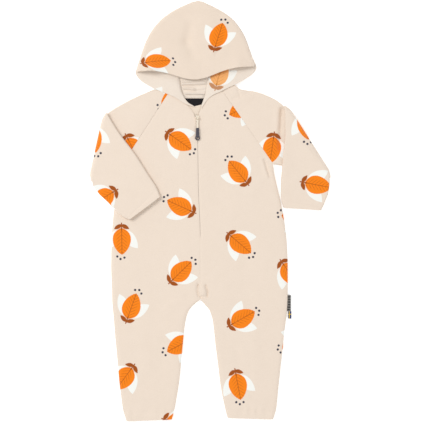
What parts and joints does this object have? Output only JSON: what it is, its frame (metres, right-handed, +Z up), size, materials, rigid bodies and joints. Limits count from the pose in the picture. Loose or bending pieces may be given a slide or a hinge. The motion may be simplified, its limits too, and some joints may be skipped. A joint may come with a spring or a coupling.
{
  "type": "hooded fleece jumpsuit, laid flat",
  "caption": "Baby's hooded fleece jumpsuit laid flat, sleeves folded at the elbow, centre zip with a hinged puller, all-over leaf print.",
  "frame": {"origin": "middle of the outline of the laid-out garment, on the surface that it lies on", "axes": "+X to the right of the garment seen from above, +Y towards the hood, +Z up from the surface"},
  "size_m": [0.4627, 0.7999, 0.016],
  "materials": {
    "fleece_print": "brushed fleece, printed",
    "fleece_inside": "brushed fleece, reverse side",
    "zip_tape": "woven tape",
    "zip_metal": "cream lacquer",
    "puller_rubber": "matte",
    "label_black": "woven satin",
    "flag_weave": "woven"
  },
  "bodies": {
    "suit": {"back": "fleece_print", "front_left": "fleece_print", "front_right": "fleece_print", "sleeve_left": "fleece_print", "sleeve_right": "fleece_print", "hood_crown": "fleece_print", "hood_back": "fleece_inside", "hood_side_left": "fleece_inside", "hood_side_right": "fleece_inside", "zip_tape": "zip_tape", "zip_slider": "zip_metal", "neck_label": "label_black", "side_label": "label_black", "side_flag": "flag_weave"},
    "pull": {"zip_tab": "zip_metal", "zip_puller": "puller_rubber"}
  },
  "joints": [
    {"name": "pull_swing", "type": "hinge", "parent": "suit", "child": "pull", "pos_m": [-0.0246, 0.1755, 0.01095], "axis": [-1, 0, 0], "range_deg": [0, 165]}
  ]
}
